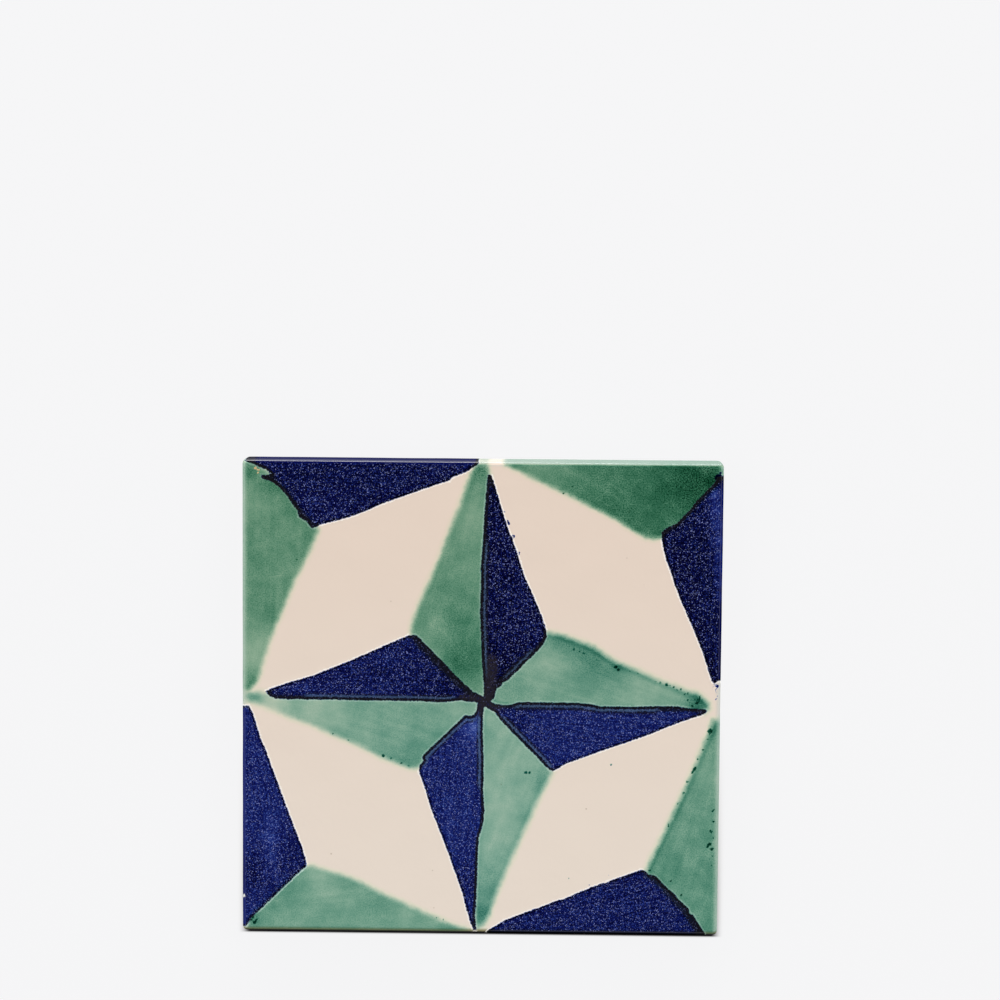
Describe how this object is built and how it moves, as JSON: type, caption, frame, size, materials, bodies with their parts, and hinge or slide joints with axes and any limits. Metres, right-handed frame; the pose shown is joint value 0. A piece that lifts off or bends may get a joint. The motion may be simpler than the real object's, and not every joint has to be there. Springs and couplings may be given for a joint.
{
  "type": "azulejo tile",
  "caption": "Square glazed wall tile with a hand-painted star pattern, an eased arris, drafted sides and a shallow keyed back.",
  "frame": {"origin": "middle of the keyed back, which lies on the floor", "axes": "+Z out of the glazed face, +Y towards the top edge of the painted pattern, +X to its right"},
  "size_m": [0.14, 0.14, 0.01],
  "materials": {
    "glazed_clay": "gloss"
  },
  "bodies": {
    "root": {"tile": "glazed_clay"}
  },
  "joints": []
}
